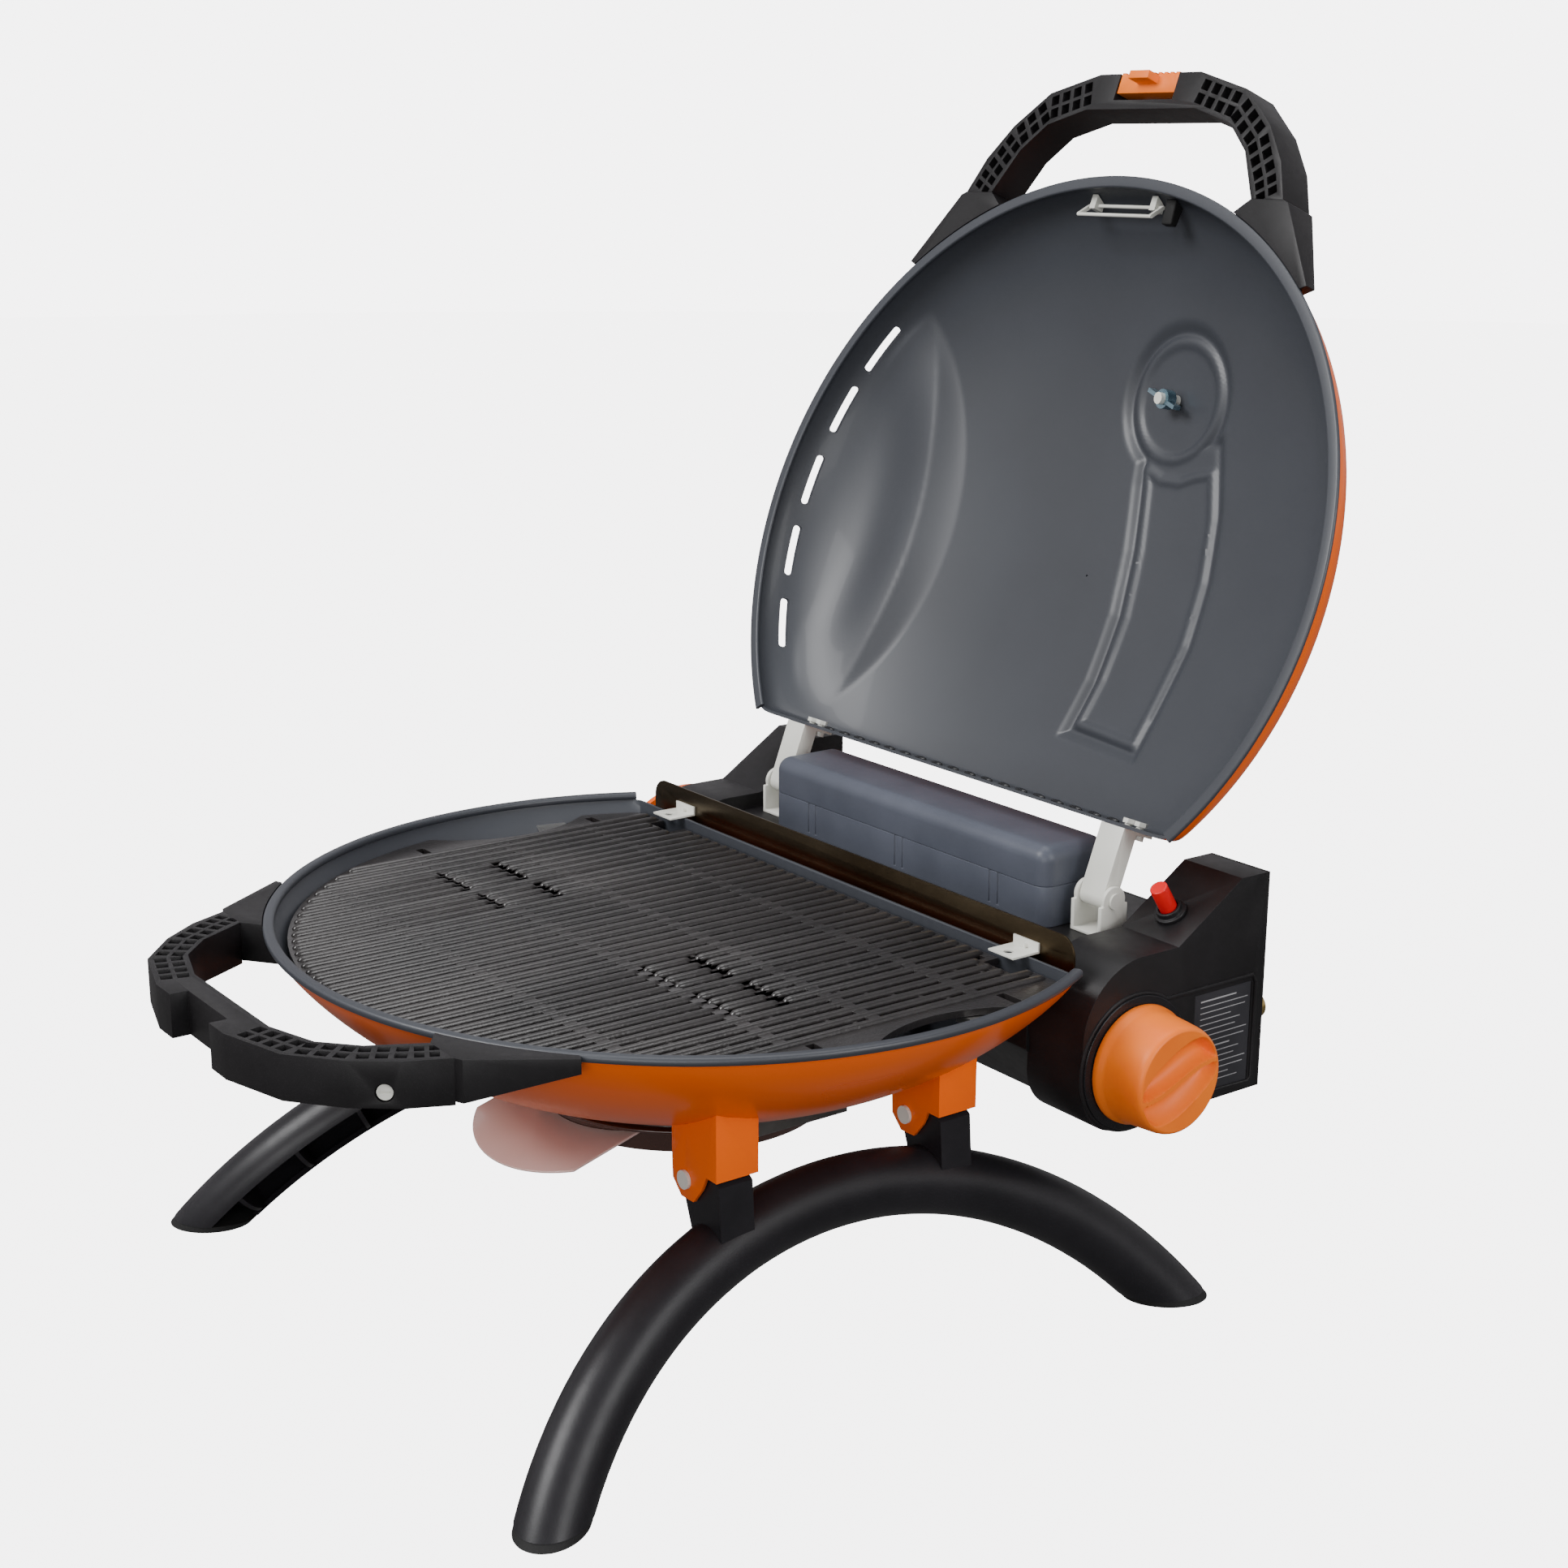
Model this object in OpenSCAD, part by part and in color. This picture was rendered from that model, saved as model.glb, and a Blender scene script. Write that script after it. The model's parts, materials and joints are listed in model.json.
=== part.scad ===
// Folding table-top gas grill with a hinged lid. All sizes in millimetres.
// Frame: origin on the floor at the middle of the bounding box, +X to the user's right,
// +Y to the back, +Z up. It is drawn as it stands in use: legs out, lid held open.

/* [Bowl and lid] */
// Half width of the bowl and lid at the rim
rim_a = 265; // [200:1:320]
// Half depth of the rim ellipse, front to back
rim_b = 251.5; // [190:1:310]
// Height of the bowl's rim above the floor
rim_h = 236; // [180:1:300]
// Depth of the bowl below its rim
bowl_depth = 104; // [70:1:130]
// Height of the lid's dome above the rim
dome_h = 80; // [50:1:110]
// Distance from the bowl's centre to its flat rear wall
bowl_back = 115.5; // [80:0.5:140]
// Distance from the bowl's centre to the lid's flat rear wall
lid_back = 152.6; // [120:0.1:180]
// Thickness of the pressed sheet
sheet = 2; // [1:0.1:3]

/* [Lid hinge] */
// How far the lid stands open
lid_open = 110.5; // [90:0.5:125]
// Hinge pin's distance behind the bowl's centre
hinge_y = 196.7; // [170:0.1:220]
// Hinge pin's height above the rim
hinge_z = 9.5; // [5:0.5:20]
// Hinge arm's middle, measured from the centre plane
arm_x = 162; // [140:1:180]

/* [Legs] */
// Leg's outward lean
leg_tilt = 27.8; // [10:0.1:35]
// Radius of the leg arch along its middle
arch_r = 262; // [220:1:320]
// Radius of the leg's round section
leg_r = 20; // [12:0.5:26]
// Leg pivot's distance from the centre plane
pivot_x = 154.3; // [130:0.1:180]
// Leg pivot's depth below the rim
pivot_z = 101; // [85:0.5:120]
// Half of the distance between a leg's two brackets
bracket_half = 78; // [50:1:110]
// How far the middle of the legs lies in front of the bowl's centre
leg_y = 10; // [0:1:30]

/* [Grate] */
// Distance between neighbouring grate bars
bar_pitch = 11; // [8:0.5:16]
// Width of one grate bar
bar_w = 5; // [3:0.5:8]

/* [Hidden] */
// the bounding box's middle, measured from the bowl's centre
x_mid = 4.25;
y_mid = 36.79;
rear_x = 235;    // half width of the rear housing
box_x = 187;     // inner side of the housing's raised ends
deck_z = -13;    // top of the housing between its ends
house_y0 = 117;  // front of the housing
house_y1 = 264;  // back of the housing
slope_a = 33;    // rise of the sloped faces at the housing's ends
knob_y = 159;
knob_z = -66;
pan_z = -111;
pan_r = 97;
grate_z = -9;    // top of the grate, below the rim
orange = [0.94, 0.36, 0.05];
slate = [0.2, 0.21, 0.24];
black = [0.06, 0.06, 0.065];
steel = [0.75, 0.74, 0.7];
iron = [0.09, 0.09, 0.095];

// ---------- frames ----------
// origin at the rim ellipse's middle, on the rim plane
module at_rim() { translate([-x_mid, -y_mid, rim_h]) children(); }
// the same, for what is drawn in the closed lid and then swung open
module at_lid() {
  at_rim() translate([0, hinge_y, hinge_z]) rotate([-lid_open, 0, 0])
    translate([0, -hinge_y, -hinge_z]) children();
}
// mirrors something already set in the frame about the grill's middle plane
module at_mirror() { translate([-2 * x_mid, 0, 0]) mirror([1, 0, 0]) children(); }
module both() { children(); mirror([1, 0, 0]) children(); }

// ---------- shared shapes ----------
// bowl surface: depth at a share q of the half width
function bowl_z(q) = -5 - (bowl_depth - 5) * pow(max(0, 1 - pow(q, 2.7)), 0.85);
function dome_z(q) = 3 + (dome_h - 3) * pow(max(0, 1 - pow(q, 2.3)), 0.5);
bowl_q = [0.36, 0.5, 0.62, 0.72, 0.8, 0.87, 0.93, 0.97, 1];
dome_q = [1, 0.985, 0.955, 0.91, 0.85, 0.77, 0.66, 0.52, 0.34, 0.16];
wall_a = rim_a - 3;

// solid bowl, grown outwards by g
module bowl_fill(g) {
  scale([1, rim_b / rim_a, 1]) rotate_extrude($fn = 96) polygon(concat(
    [[0, bowl_z(0) - g]],
    [for (q = bowl_q) [q * wall_a + g, bowl_z(q) - g * (1 - q * q)]],
    [[wall_a + g, 30], [0, 30]]));
}
// solid dome, grown outwards by g
module dome_fill(g) {
  scale([1, rim_b / rim_a, 1]) rotate_extrude($fn = 96) polygon(concat(
    [[0, 0], [wall_a + g, 0]],
    [for (q = dome_q) [q * wall_a + g, dome_z(q) + g * (1 - q * q)]],
    [[0, dome_z(0) + g]]));
}
module front_of(y) { translate([-400, y - 800, -400]) cube([800, 800, 800]); }
module rounded(w, h, r) {
  translate([r, 0]) square([w - 2 * r, h]);
  translate([0, r]) square([w, h - 2 * r]);
  for (x = [r, w - r]) for (y = [r, h - r]) translate([x, y]) circle(r = r, $fn = 24);
}
// box spanning two corners
module span(a, b) { translate(a) cube(b - a); }
module rod_x(r, l, n = 32) { rotate([0, 90, 0]) cylinder(r = r, h = l, $fn = n); }
module rod_y(r, l, n = 32) { rotate([-90, 0, 0]) cylinder(r = r, h = l, $fn = n); }

// ---------- bowl ----------
module bowl_shell() {
  color(orange) at_rim() difference() {
    intersection() { bowl_fill(0); front_of(bowl_back); span([-400, -400, -200], [400, 400, -5]); }
    intersection() { bowl_fill(-sheet); front_of(bowl_back - sheet); }
    translate([0, 0, -130]) cylinder(r = 40, h = 60, $fn = 48);
    // burner tube's way in, through the rear wall
    translate([feed_x, bowl_back - 10, burn_z]) rod_y(12.5, 20);
    // electrode's way in
    translate([spark_x, bowl_back - 10, spark_z]) rod_y(4, 20);
  }
}
module bowl_rim() {
  color(slate) at_rim() difference() {
    intersection() {
      scale([1, rim_b / rim_a, 1]) rotate_extrude($fn = 96)
        translate([rim_a - 7, -5]) square([7, 5]);
      front_of(bowl_back);
    }
    scale([1, (rim_b - 1.6) / (rim_a - 1.6), 1]) rotate_extrude($fn = 96)
      translate([0, -5.5]) square([wall_a - sheet, 3]);
  }
}
module grate_rests() {
  color(steel) at_rim() intersection() {
    for (s = [-1, 1]) for (y = [-80, 50])
      translate([s * 236 - 22, y - 10, grate_z - grate_t - 5.4]) cube([44, 20, 5]);
    bowl_fill(-sheet - 0.1);
  }
}

// ---------- burner and gas train ----------
burn_y = -10;
burn_z = -66;
feed_x = 92;     // burner tube's distance from the middle plane
feed_y = 50;     // where the tube meets the burner
spark_x = 60;
spark_z = -52;
module burner() {
  color(steel) at_rim() translate([0, burn_y, burn_z]) difference() {
    union() {
      rotate_extrude($fn = 72) translate([feed_x - 8, -8]) square(16);
      translate([feed_x - 8, 0, -8]) cube([16, feed_y - burn_y, 16]);
    }
    rotate_extrude($fn = 72) translate([feed_x - 6.5, -6.5]) square(13);
    translate([feed_x - 6.5, 0, -6.5]) cube([13, feed_y - burn_y + 5, 13]);
    for (a = [0:20:340]) rotate([0, 0, a + 90])
      translate([feed_x, 0, 4]) cylinder(r = 1.6, h = 6, $fn = 12);
  }
}
module venturi_tube() {
  color(steel) at_rim() translate([feed_x, 0, burn_z]) difference() {
    translate([0, feed_y, 0]) rod_y(11.5, 140.3 - feed_y);
    translate([0, feed_y - 1, 0]) rod_y(10, 110);
    for (s = [-1, 1]) translate([s * 10 - 4, 122, -4]) cube([8, 12, 8]);
  }
}
module burner_clamp() {
  color(steel) at_rim() intersection() {
    for (a = [90, 210, 330]) translate([feed_x * cos(a), burn_y + feed_x * sin(a), -110])
      cylinder(r = 6, h = 110 + burn_z - 8, $fn = 24);
    bowl_fill(-sheet - 0.1);
  }
}
module gas_valve() {
  color([0.72, 0.62, 0.35]) at_rim() translate([0, knob_y, knob_z]) difference() {
    union() {
      translate([196, 0, 0]) rod_x(14, 28, 48);
      translate([100, 0, 0]) rod_x(5, 98);
      translate([84, -12, -8]) cube([18, 24, 16]);
      translate([210, 10, 0]) rod_y(9, 14);
    }
    translate([205, 0, 0]) rod_x(4.05, 30);
    translate([feed_x, -20, 0]) rod_y(1, 12, 16);
  }
}
module valve_stem() {
  color(steel) at_rim() translate([206, knob_y, knob_z]) rod_x(4, 56);
}
module gas_inlet() {
  color([0.8, 0.65, 0.3]) at_rim() translate([210, knob_y + 24, knob_z]) difference() {
    union() {
      rod_y(6, 92);
      translate([0, 76, 0]) rotate([-90, 0, 0]) cylinder(r = 10, h = 14, $fn = 6);
      translate([0, 90, 0]) rod_y(7.9, 16);
    }
    translate([0, 4, 0]) rod_y(3, 110);
  }
}
ign_y = 209;
ign_x = 211;
module at_igniter() {
  at_rim() translate([ign_x, ign_y, -2.1 + (ign_y - 191.9) * tan(slope_a)])
    rotate([slope_a, 0, 0]) children();
}
module igniter_body() {
  color([0.9, 0.9, 0.86]) at_igniter() difference() {
    translate([0, 0, -34]) cylinder(r = 7, h = 30.6, $fn = 32);
    translate([0, 0, -24]) cylinder(r = 4.3, h = 30, $fn = 32);
  }
}
module igniter_collar() {
  color(black) at_igniter() difference() {
    union() {
      translate([0, 0, 0.05]) cylinder(r = 10, h = 2.5, $fn = 48);
      translate([0, 0, 0.05]) cylinder(r = 8, h = 6, $fn = 48);
    }
    translate([0, 0, -1]) cylinder(r = 6, h = 12, $fn = 48);
  }
}
module igniter_button() {
  color([0.85, 0.02, 0.03]) at_igniter() {
    difference() {
      translate([0, 0, 1]) cylinder(r = 5.5, h = 23, $fn = 48);
      translate([0, 0, 104]) sphere(r = 82, $fn = 96);
    }
    translate([0, 0, -16]) cylinder(r = 4, h = 17.5, $fn = 32);
  }
}
module spark_electrode() {
  color([0.92, 0.92, 0.9]) at_rim() translate([spark_x, 0, spark_z]) {
    translate([0, 92, 0]) rod_y(3.2, 50, 24);
    translate([0, 84, 0]) rod_y(1, 8.2, 16);
    translate([-1, 84, -6]) cube([2, 1.6, 6]);
  }
}

// ---------- grate ----------
grate_a = 250;
grate_b = 237.5;
grate_t = 7;
grate_back = 112;
bars_x = 209;    // outermost bars, from the middle plane
clip_x = 180;    // wind guard's clips, from the middle plane
module grate_outline() {
  difference() {
    polygon([for (i = [0:95]) let (q = i * 360 / 96)
      [grate_a * cos(q), min(grate_back, grate_b * sin(q))]]);
    // scallops that give a grip at the two ends
    for (s = [-1, 1]) translate([s * 305, 17]) circle(r = 86, $fn = 96);
    // room for the guard's clips when the grate is lifted out
    for (s = [-1, 1]) translate([s * clip_x - 13, 100]) square([26, 20]);
  }
}
module cooking_grate() {
  color(iron) at_rim() translate([0, 0, grate_z - grate_t]) {
    linear_extrude(grate_t) difference() {
      grate_outline();
      for (i = [-19:18]) let (
        x = (i + 0.5) * bar_pitch,
        w = bar_pitch - bar_w,
        r = grate_b * sqrt(1 - pow((abs(x) + w) / grate_a, 2)) - 6,
        back = min(r, (abs(abs(x) - clip_x) < 20 ? 100 : grate_back) - 6)
      ) {
        translate([x - w / 2, -r]) square([w, r + back]);
      }
      for (s = [-1, 1]) for (y = [-62, 72]) translate([s * 222 - 8, y - 3]) square([16, 6]);
    }
    // cross members tie the bars together from below
    for (y = [-150, -74, -10, 60]) let (w = grate_a * sqrt(1 - pow(y / grate_b, 2)) - 14)
      translate([-min(w, bars_x + 4), y - 4, 0]) cube([2 * min(w, bars_x + 4), 8, 5]);
  }
}

// ---------- wind guard ----------
module wind_guard() {
  color([0.33, 0.26, 0.17]) at_rim() {
    translate([0, 123.8, 0]) rotate([90, 0, 0]) linear_extrude(1.2) difference() {
      union() {
        translate([-220, -12.8]) square([440, 13.1]);
        translate([-208, 0]) square([416, 12.3]);
        for (s = [-1, 1]) translate([s * 208, 0.3]) circle(r = 12, $fn = 48);
      }
      for (s = [-1, 1]) translate([s * clip_x, -2]) circle(r = 2, $fn = 16);
    }
    span([-205, 117.6, -12.8], [205, 122.6, -11.6]);
  }
}
module guard_clips() {
  color([0.9, 0.9, 0.86]) at_rim() for (s = [-1, 1]) translate([s * clip_x, 0, 0]) {
    difference() {
      union() {
        span([-11, 102, -4.4], [11, 122.5, -3.2]);
        span([-11, 121.3, -4.4], [11, 122.5, 2]);
      }
      translate([0, 108, -6]) cylinder(r = 3, h = 5, $fn = 24);
    }
    translate([0, 119, -2]) rod_y(1.9, 6.5, 16);
  }
}

// ---------- grease catcher ----------
module grease_funnel() {
  color(steel) at_rim() difference() {
    translate([0, 0, -109.5]) cylinder(r = 52, h = 20, $fn = 64);
    translate([0, 0, -110]) cylinder(r = 49.5, h = 30, $fn = 64);
    bowl_fill(0.1);
  }
}
module pan_rails() {
  color(steel) at_rim() difference() {
    both() span([pan_r - 4, -70, pan_z - 5], [pan_r + 6, 50, pan_z + 25]);
    bowl_fill(0.1);
    both() span([pan_r - 10, -80, pan_z - 2.4], [pan_r + 1.6, 44, pan_z + 0.4]);
    both() span([pan_r - 10, -80, pan_z], [pan_r + 1.6, 60, pan_z + 8]);
  }
}
module grease_pan() {
  color([0.16, 0.08, 0.06]) at_rim() translate([0, 0, pan_z]) difference() {
    union() {
      translate([0, 0, -2]) cylinder(r = pan_r, h = 2, $fn = 96);
      translate([-pan_r - 1, -45, -2]) cube([2 * pan_r + 2, 85, 2]);
      translate([0, 0, -16]) cylinder(r = pan_r - 7, h = 15, $fn = 96);
    }
    translate([0, 0, -14.5]) cylinder(r = pan_r - 8.5, h = 16, $fn = 96);
  }
}
module pan_tab() {
  color([0.85, 0.8, 0.78]) at_rim() difference() {
    translate([0, -80, pan_z - 6]) rotate([16, 0, 0]) translate([0, 0, -1.5]) linear_extrude(1.5)
      intersection() {
        translate([-58, -62]) square([116, 80]);
        translate([0, 20]) circle(r = 82, $fn = 96);
      }
    translate([0, 0, pan_z - 40]) cylinder(r = pan_r - 6.95, h = 60, $fn = 96);
  }
}

// ---------- handles ----------
grip_outer = [[147, -238], [136, -262], [118, -285], [90, -308], [46, -320]];
grip_inner = [[50, -296], [84, -286], [104, -268], [118, -243], [121, -238]];
grip_mid = [[0, -308], [48, -308], [87, -297], [111, -276.5], [127, -252], [134, -238]];
grip_t = 26;
module grip_outline() {
  polygon(concat(grip_outer, [for (i = [4:-1:0]) [-grip_outer[i][0], grip_outer[i][1]]],
    [for (i = [4:-1:0]) [-grip_inner[i][0], grip_inner[i][1]]], grip_inner));
}
// open pockets between the ribs of one mating face, set out along the grip's middle line
module grip_pockets(i0) {
  for (s = [-1, 1]) for (i = [i0:4]) let (
    p = grip_mid[i], q = grip_mid[i + 1],
    d = q - p, l = norm(d), n = max(2, round(l / 11)), a = atan2(d[1], d[0])
  ) for (k = [0:n - 1]) for (side = [-1, 1])
    mirror([s < 0 ? 1 : 0, 0, 0]) translate(p) rotate(a)
      translate([(k + 0.5) * l / n - l / n * 0.34, side * 4.6 - 3.4]) square([l / n * 0.68, 6.8]);
}
module grip(i0) {
  difference() {
    translate([0, 0, 0.5]) linear_extrude(grip_t) grip_outline();
    translate([0, 0, -1]) linear_extrude(16) grip_pockets(i0);
  }
}
module grip_end() {
  both() difference() {
    linear_extrude(grip_t - 2)
      polygon([[120.8, -238], [147.2, -238], [152, -236], [186, -186], [100, -150], [100, -222]]);
    // thins to a wedge along the rim
    translate([151, -238, 0]) rotate([90, 0, 56]) linear_extrude(160, center = true)
      polygon([[0, grip_t - 1.5], [64, 8], [64, 30], [0, 30]]);
  }
}
// +X points out of the grip's outer face, beside its end
module on_grip_face() { both() translate([130, -269.7, -18]) rotate([0, 0, -38]) children(); }
module rim_ring(g, z0, z1) {
  translate([0, 0, z0]) scale([1, rim_b / rim_a, 1]) cylinder(r = rim_a + g, h = z1 - z0, $fn = 96);
}
module front_handle() {
  color(black) at_rim() difference() {
    mirror([0, 0, 1]) grip(1);
    // notch the lid's catch drops into
    span([-27, -330, -30], [27, -309.5, 0]);
    on_grip_face() translate([-3.5, 0, 0]) rod_x(5.2, 8);
  }
}
module front_handle_ends() {
  color(black) at_rim() difference() {
    mirror([0, 0, 1]) translate([0, 0, 0.5]) grip_end();
    bowl_fill(0.2);
    rim_ring(0.2, -5.2, 5);
  }
}
module front_handle_screws() {
  color(steel) at_rim() on_grip_face() difference() {
    translate([-3.4, 0, 0]) rod_x(4.4, 2);
    translate([-2.2, -3, -0.6]) cube([2, 6, 1.2]);
  }
}
module lid_handle() {
  color(black) at_lid() difference() {
    grip(1);
    span([-27, -330, 0], [27, -302.2, 30]);
    both() translate([128, -251, 24]) cylinder(r = 5, h = 6, $fn = 32);
  }
}
module lid_handle_ends() {
  color(black) at_lid() difference() {
    translate([0, 0, 0.5]) grip_end();
    dome_fill(0.2);
    rim_ring(0.2, -1, 3.7);
  }
}
module lid_handle_screws() {
  color(steel) at_lid() both() translate([128, -251, 24.1]) difference() {
    cylinder(r = 4.4, h = 1.9, $fn = 32);
    translate([-3, -0.6, 1]) cube([6, 1.2, 2]);
  }
}
module latch_button() {
  color([1, 0.5, 0.15]) at_lid() difference() {
    union() {
      span([-26.4, -321, 1.2], [26.4, -307, 26]);
      // catch that reaches down into the front handle's notch
      span([-9, -318.5, -9], [9, -313, 2]);
    }
    for (i = [-4:4]) translate([i * 5.4 - 1, -322, 0]) cube([2, 2.4, 30]);
  }
}

// ---------- legs ----------
module leg_frame() { translate([pivot_x, -leg_y, -pivot_z]) rotate([0, -leg_tilt, 0]) children(); }
// along the arch: section drawn with x outwards from the leg's plane, y towards the arch's outside
arch_drop = 31;
module arch(c, a) {
  translate([-4.4, 0, -arch_drop - arch_r]) rotate([0, 0, 90]) rotate([90, 0, 0])
    rotate([0, 0, 90 - a + c]) rotate_extrude(angle = 2 * a, $fn = 180) translate([arch_r, 0]) children();
}
// a thin cross rib of the arch, c degrees from its top
module arch_at(c) { arch(c, 0.3) children(); }
// half tube, open on the side that faces the middle of the grill
module leg_section() {
  difference() {
    circle(r = leg_r, $fn = 48);
    circle(r = leg_r - 3, $fn = 48);
    translate([-13, -40]) square([26, 40]);
  }
}
module leg_raw() {
  leg_frame() difference() {
    union() {
      arch(0, 61) leg_section();
      for (k = [-5:5]) arch_at(k * 10) circle(r = leg_r - 1.5, $fn = 48);
      for (s = [-1, 1]) translate([0, s * bracket_half + 11.2, 0]) rotate([90, 0, 0])
        linear_extrude(22.4) union() {
          polygon([[-9, 0], [0, 9], [18, 7], [25, -6], [27, -10], [14, -40], [-14, -40]]);
          circle(r = 9, $fn = 48);
        }
    }
    for (s = [-1, 1]) translate([0, s * bracket_half - 20, 0]) rod_y(3.56, 40, 48);
  }
}
pad_t = 4;
module leg_right() {
  color(black) at_rim() difference() {
    leg_raw();
    span([-100, -400, -400], [500, 400, -rim_h + pad_t]);
  }
}
module leg_left() { at_mirror() leg_right(); }
module pads_right() {
  color([0.04, 0.04, 0.04]) at_rim() intersection() {
    leg_frame() arch(0, 64) circle(r = leg_r - 0.4, $fn = 48);
    span([-100, -400, -rim_h], [500, 400, -rim_h + pad_t - 0.02]);
  }
}
module pads_left() { at_mirror() pads_right(); }
module leg_brackets() {
  color(orange) at_rim() difference() {
    both() for (s = [-1, 1]) translate([0, -leg_y + s * bracket_half, 0]) difference() {
      translate([0, 14, 0]) rotate([90, 0, 0]) linear_extrude(28) difference() {
        union() {
          translate([141, -93]) square([43.5, 53]);
          polygon([[141, -92], [141.6, -104], [150, -112.4], [162, -112], [170, -102], [175, -92]]);
        }
        translate([pivot_x, -pivot_z]) circle(r = 3.5, $fn = 48);
      }
      span([140, -11.8, -120], [182.3, 11.8, -64]);
    }
    bowl_fill(0.1);
  }
}
module leg_pins() {
  color([0.9, 0.88, 0.84]) at_rim() both() for (s = [-1, 1])
    translate([pivot_x, -leg_y + s * bracket_half, -pivot_z]) {
      translate([0, -14.2, 0]) rod_y(3.5, 28.4, 48);
      for (m = [0, 1]) mirror([0, m, 0]) translate([0, 14.05, 0]) rod_y(5.5, 2, 32);
    }
}
module leg_springs() {
  color([0.85, 0.85, 0.85]) at_rim() both() for (s = [-1, 1])
    translate([172.5, -leg_y + s * bracket_half, -81.3]) {
      for (k = [-4:4]) translate([0, k * 2.4 - 1, 0]) difference() {
        rod_y(4.2, 2, 32);
        translate([0, -1, 0]) rod_y(2.6, 4, 32);
      }
      translate([0, -11.8, 0]) rod_y(2.6, 23.6, 32);
    }
}

// ---------- rear housing ----------
// section of an end of the housing, drawn in Y and Z; g grows it inwards
module end_section(g) {
  translate([164, -48]) circle(r = 46 - g, $fn = 96);
  translate([148, -77]) circle(r = 29 - g, $fn = 72);
  polygon([[119 + g, -77], [119 + g, -48], [164, -2.1 - g], [191.9 - g * 0.3, -2.1 - g],
    [242.7 - g * 0.3, 31 - g], [house_y1 - (g > 0 ? -5 : 0), 31 - g],
    [house_y1 - (g > 0 ? -5 : 0), -106 + g], [148, -106 + g]]);
}
module mid_section(g) {
  polygon([[house_y0 + g, deck_z - g], [house_y1 + (g > 0 ? 5 : 0), deck_z - g],
    [house_y1 + (g > 0 ? 5 : 0), -106 + g], [150 + g * 0.4, -106 + g], [house_y0 + g, -64 - g * 0.2]]);
}
// extrudes a Y-Z section along X
module along_x(x0, x1) { translate([x0, 0, 0]) rotate([90, 0, 90]) linear_extrude(x1 - x0) children(); }
module rear_housing() {
  color(black) at_rim() difference() {
    union() {
      along_x(-box_x - 1, box_x + 1) mid_section(0);
      along_x(box_x, rear_x) end_section(0);
      along_x(-rear_x, -box_x) end_section(0);
    }
    along_x(-box_x - 4, box_x + 4) mid_section(3);
    along_x(box_x + 3, rear_x - 3) end_section(3);
    along_x(-rear_x + 3, -box_x - 3) end_section(3);
    translate([feed_x, 110, burn_z]) rod_y(14, 30);
    translate([spark_x, 110, spark_z]) rod_y(3.4, 20);
    translate([rear_x - 10, knob_y, knob_z]) rod_x(7, 20);
    at_origin_igniter() translate([0, 0, -20]) cylinder(r = 6, h = 40, $fn = 48);
    // shallow seat of the label
    span([rear_x - 1.5, 208, -101], [rear_x + 1, 256, -36]);
  }
}
module at_origin_igniter() {
  translate([ign_x, ign_y, -2.1 + (ign_y - 191.9) * tan(slope_a)]) rotate([slope_a, 0, 0]) children();
}
module rear_cover() {
  color([0.1, 0.1, 0.1]) at_rim()
  translate([0, house_y1 + 2.6, 0]) rotate([90, 0, 0]) linear_extrude(2.5) difference() {
    union() {
      translate([-rear_x, -106]) square([2 * rear_x, 106 + deck_z]);
      for (s = [-1, 1]) translate([s * (rear_x + box_x) / 2 - (rear_x - box_x) / 2, -106])
        square([rear_x - box_x, 137]);
    }
    translate([210, knob_z]) circle(r = 12, $fn = 32);
    for (x = [-150:30:150]) translate([x - 3, -80]) square([6, 44]);
    for (x = [-225, -75, 75, 225]) translate([x, -98]) circle(r = 2.5, $fn = 24);
  }
}
module cover_screws() {
  color(steel) at_rim() for (x = [-225, -75, 75, 225]) translate([x, house_y1 - 2.9, -98]) {
    rod_y(2.5, 5.5, 24);
    translate([0, 5.5, 0]) rod_y(4.5, 2, 24);
  }
}
module knob_bezel() {
  color([0.03, 0.03, 0.03]) at_rim() translate([rear_x, knob_y, knob_z]) difference() {
    rod_x(41, 2.4, 96);
    translate([-1, 0, 0]) rod_x(7, 6);
  }
}
module control_knob() {
  color([1, 0.5, 0.15]) at_rim() translate([rear_x + 3, knob_y, knob_z]) rotate([0, 90, 0]) difference() {
    rotate_extrude($fn = 96)
      polygon([[0, 2], [33, 2], [33, 0], [36, 0], [36, 5], [34.5, 8], [32.5, 33], [30.5, 35.5], [0, 35.5]]);
    translate([0, 0, -1]) cylinder(r = 4, h = 25.05, $fn = 32);
    // finger scoops either side of the grip
    for (s = [0, 180]) rotate([0, 0, s + 25]) translate([22, 7, 24]) {
      intersection() {
        cylinder(r = 17.5, h = 20, $fn = 64);
        translate([-40, -1, 0]) cube([60, 20, 30]);
      }
    }
  }
}
module label_plate() {
  color([0.12, 0.12, 0.13]) at_rim() span([rear_x - 1.4, 208.3, -100.7], [rear_x - 0.4, 255.7, -36.3]);
}
module left_cap() {
  color(orange) at_rim() translate([-rear_x - 5, knob_y, knob_z]) difference() {
    rod_x(63, 4.95, 96);
    translate([-1, 0, 0]) rod_x(54, 3, 96);
  }
}

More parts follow.
